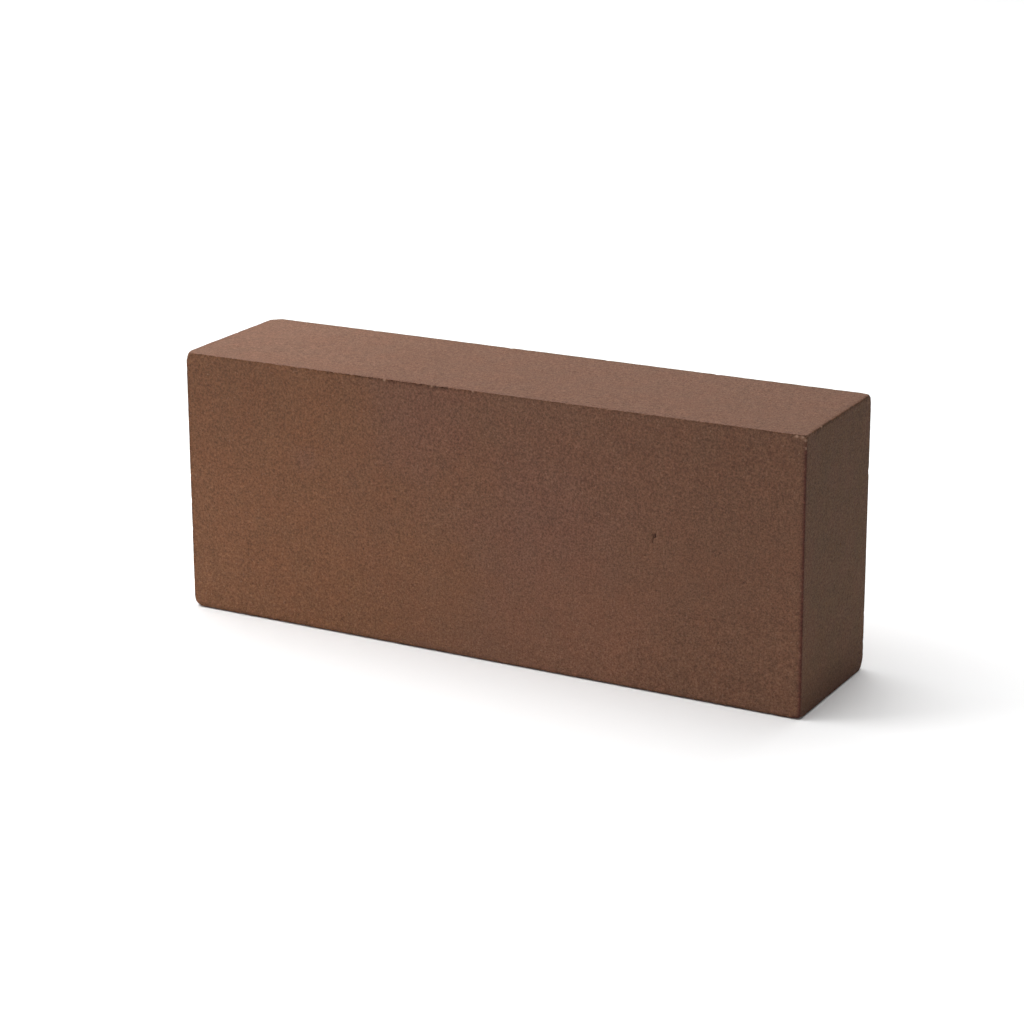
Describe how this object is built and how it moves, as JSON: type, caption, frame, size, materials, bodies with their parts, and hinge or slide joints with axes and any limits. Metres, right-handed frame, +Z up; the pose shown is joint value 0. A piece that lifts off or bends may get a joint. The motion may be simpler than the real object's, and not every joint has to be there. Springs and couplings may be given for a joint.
{
  "type": "facing brick",
  "caption": "Solid rectangular brick of brown fired clay with a sandy matt skin and worn arrises, for facing or veneer masonry, standing on its long narrow face.",
  "frame": {"origin": "middle of the long narrow face that the brick stands on", "axes": "+X along the length, +Y through the thickness from the front bed face to the back one, +Z up, along the depth of the bed"},
  "size_m": [0.228, 0.054, 0.092],
  "materials": {
    "fired_clay": "matte"
  },
  "bodies": {
    "root": {"facing_brick": "fired_clay"}
  },
  "joints": []
}
